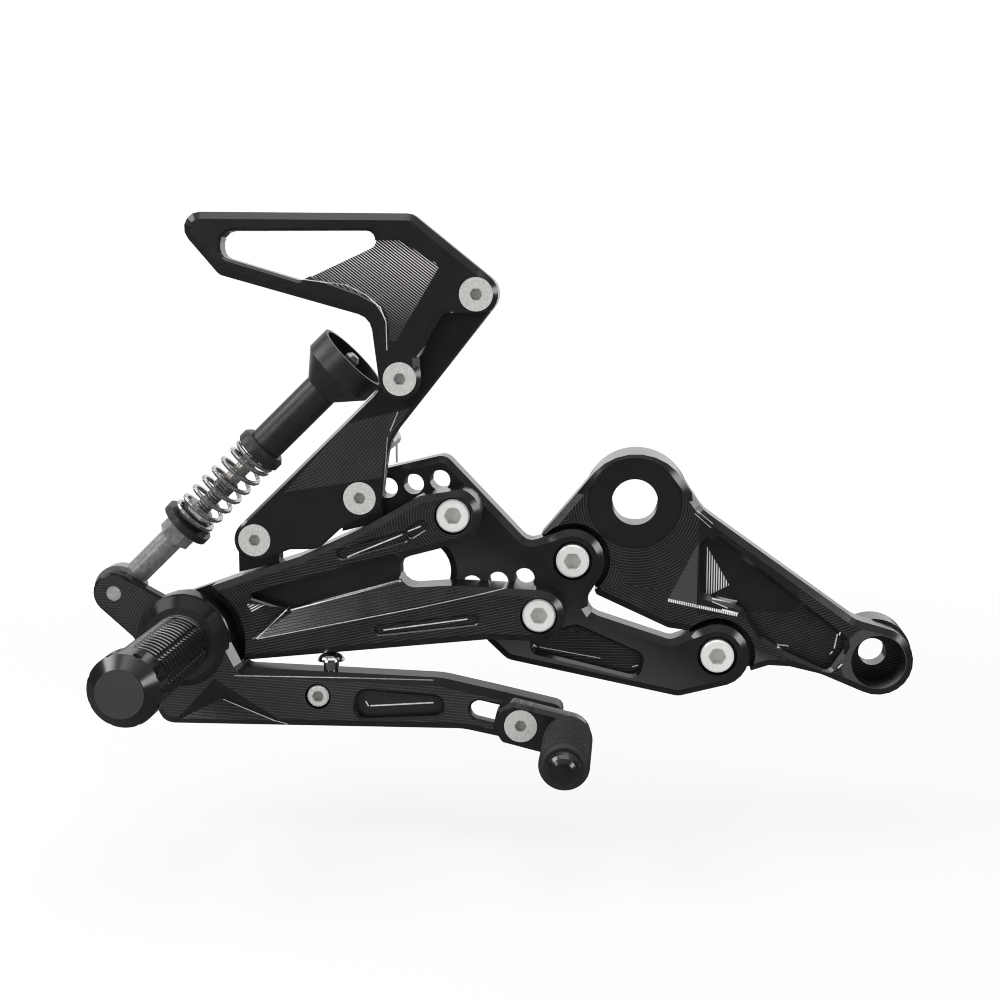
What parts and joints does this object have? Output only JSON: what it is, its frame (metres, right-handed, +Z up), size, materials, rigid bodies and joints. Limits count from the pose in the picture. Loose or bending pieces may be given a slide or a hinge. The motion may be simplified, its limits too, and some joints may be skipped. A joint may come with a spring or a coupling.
{
  "type": "rear sets footrest",
  "caption": "Brake-side motorbike footrest assembly: milled black plates, ringed footpeg, heel guard, brake lever with toe peg, and sprung pushrod.",
  "frame": {"origin": "centre of the big frame bore, on the boss face that lies against the motorbike's frame", "axes": "+X in the riding direction, +Y towards the motorbike along the bore axis, +Z up"},
  "size_m": [0.325, 0.1275, 0.2077],
  "materials": {
    "plate_black": "black anodised, with fine parallel milling lines",
    "peg_black": "black anodised, turned",
    "stainless": "bright, lightly brushed",
    "steel": "ground",
    "cast_steel": "blasted grey",
    "bronze": "dull bearing bronze",
    "rubber": "matt ribbed",
    "plastic": "turned black acetal"
  },
  "bodies": {
    "frame": {"main_bracket": "plate_black", "adjuster_plate": "plate_black", "peg_bracket": "plate_black", "heel_bracket": "plate_black", "heel_guard": "plate_black", "cap_screw_upper": "stainless", "cap_screw_lower": "stainless", "cap_screw_rear": "stainless", "cap_screw_front": "stainless", "flat_screw_guard_top": "stainless", "flat_screw_guard_low": "stainless", "flat_screw_heel_front": "stainless", "flat_screw_heel_rear": "stainless", "footpeg_body": "peg_black", "footpeg_cap": "peg_black", "footpeg_bolt": "stainless", "footpeg_washer": "stainless", "pivot_sleeve": "steel", "spring_post": "stainless", "post_wires": "stainless"},
    "lever": {"brake_lever": "plate_black", "lever_bush": "bronze", "lock_screw": "stainless", "stop_screw": "stainless", "rod_end_screw": "steel", "rod_end_ball": "steel"},
    "toe_clamp": {"toe_screw": "stainless", "toe_nut": "stainless"},
    "toe_piece": {"toe_link": "plate_black", "toe_spindle": "peg_black", "toe_rubber": "rubber"},
    "pushrod": {"rod_end": "cast_steel", "rod_end_race": "bronze", "spring_seat": "plastic", "step_bush": "plastic", "jam_nut": "stainless", "pushrod": "steel", "return_spring": "stainless"},
    "sleeve": {"sleeve": "plastic"}
  },
  "joints": [
    {"name": "lever_pivot", "type": "hinge", "parent": "frame", "child": "lever", "pos_m": [-0.176, -0.047, -0.055], "axis": [0, 1, 0], "range_deg": [0, 12], "stiffness_Nm_per_rad": 2, "springref_deg": -8.59},
    {"name": "rod_swivel", "type": "hinge", "parent": "lever", "child": "pushrod", "pos_m": [-0.205, -0.0358, -0.0373], "axis": [0, 1, 0], "range_deg": [-11.6, 0]},
    {"name": "sleeve_slide", "type": "slide", "parent": "pushrod", "child": "sleeve", "axis": [-0.7169, 0, -0.6972], "range_m": [0, 0.0071], "deforming": ["return_spring"]},
    {"name": "toe_slide", "type": "slide", "parent": "lever", "child": "toe_clamp", "axis": [-0.9763, 0, 0.2164], "range_m": [0, 0.014]},
    {"name": "toe_turn", "type": "hinge", "parent": "toe_clamp", "child": "toe_piece", "pos_m": [-0.0424, -0.056, -0.08308], "axis": [0, 1, 0], "range_deg": [-20, 20]}
  ],
  "couplings": [
    {"joint": "rod_swivel", "follows": "lever_pivot", "ratio": -0.96313},
    {"joint": "sleeve_slide", "follows": "lever_pivot", "m_per_rad": 0.03355}
  ]
}
